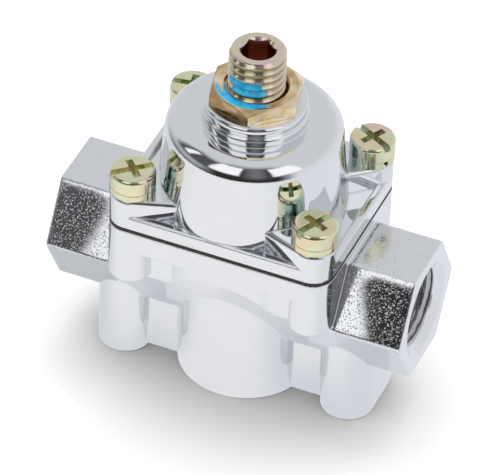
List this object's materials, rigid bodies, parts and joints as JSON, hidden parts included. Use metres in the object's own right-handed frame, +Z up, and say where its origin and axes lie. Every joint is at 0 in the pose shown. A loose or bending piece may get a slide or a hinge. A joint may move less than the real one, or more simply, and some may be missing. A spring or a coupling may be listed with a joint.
{
  "type": "fuel pressure regulator",
  "caption": "Chromed diaphragm fuel pressure regulator with hexagonal pipe ports on either side, a domed spring cover and an adjusting screw held by a jam nut.",
  "frame": {"origin": "on the axis of the dome, on the surface that the boss and feet stand on", "axes": "+X towards the outlet port along the port axis, +Z up the adjusting screw"},
  "size_m": [0.0684, 0.0348, 0.071],
  "materials": {
    "chrome_casting": "polished chrome plate over a die casting",
    "yellow_zinc": "iridescent yellow zinc plate",
    "gold_zinc": "gold zinc plate",
    "rose_zinc": "worn zinc plate with a rose tint",
    "black_rubber": "matte fabric-backed rubber",
    "steel": "satin",
    "spring_steel": "satin",
    "brass": "turned",
    "fibre": "matte"
  },
  "bodies": {
    "housing": {"body": "chrome_casting", "cover": "chrome_casting", "diaphragm": "black_rubber", "cover_screws": "yellow_zinc", "lock_washers": "yellow_zinc", "valve_seat": "brass", "seat_gasket": "fibre", "valve_spring": "spring_steel"},
    "diaphragm_stack": {"diaphragm_plate": "steel", "diaphragm_washer": "steel", "diaphragm_rivet": "brass", "main_spring": "spring_steel"},
    "valve": {"valve_poppet": "steel", "poppet_seal": "black_rubber"},
    "button": {"spring_button": "steel"},
    "adjuster": {"adjusting_screw": "rose_zinc"},
    "lock": {"jam_nut": "gold_zinc"}
  },
  "joints": [
    {"name": "diaphragm_stroke", "type": "slide", "parent": "housing", "child": "diaphragm_stack", "axis": [0, 0, 1], "range_m": [0, 0.00095], "stiffness_N_per_m": 2000, "springref_m": -0.004, "deforming": ["diaphragm", "main_spring"]},
    {"name": "valve_stroke", "type": "slide", "parent": "housing", "child": "valve", "axis": [0, 0, 1], "range_m": [0, 0.00095], "deforming": ["valve_spring"]},
    {"name": "adjuster_travel", "type": "slide", "parent": "housing", "child": "button", "axis": [0, 0, 1], "range_m": [-0.004, 0.0012], "deforming": ["main_spring"]},
    {"name": "adjuster_turn", "type": "hinge", "parent": "button", "child": "adjuster", "pos_m": [0, 0, 0.0604], "axis": [0, 0, 1], "range_deg": [-960, 288]},
    {"name": "jam_nut_turn", "type": "hinge", "parent": "housing", "child": "lock", "pos_m": [0, 0, 0.0617], "axis": [0, 0, 1], "range_deg": [0, 360]}
  ],
  "couplings": [
    {"joint": "valve_stroke", "follows": "diaphragm_stroke", "ratio": 1},
    {"joint": "adjuster_turn", "follows": "adjuster_travel", "rad_per_m": 4188.8}
  ]
}
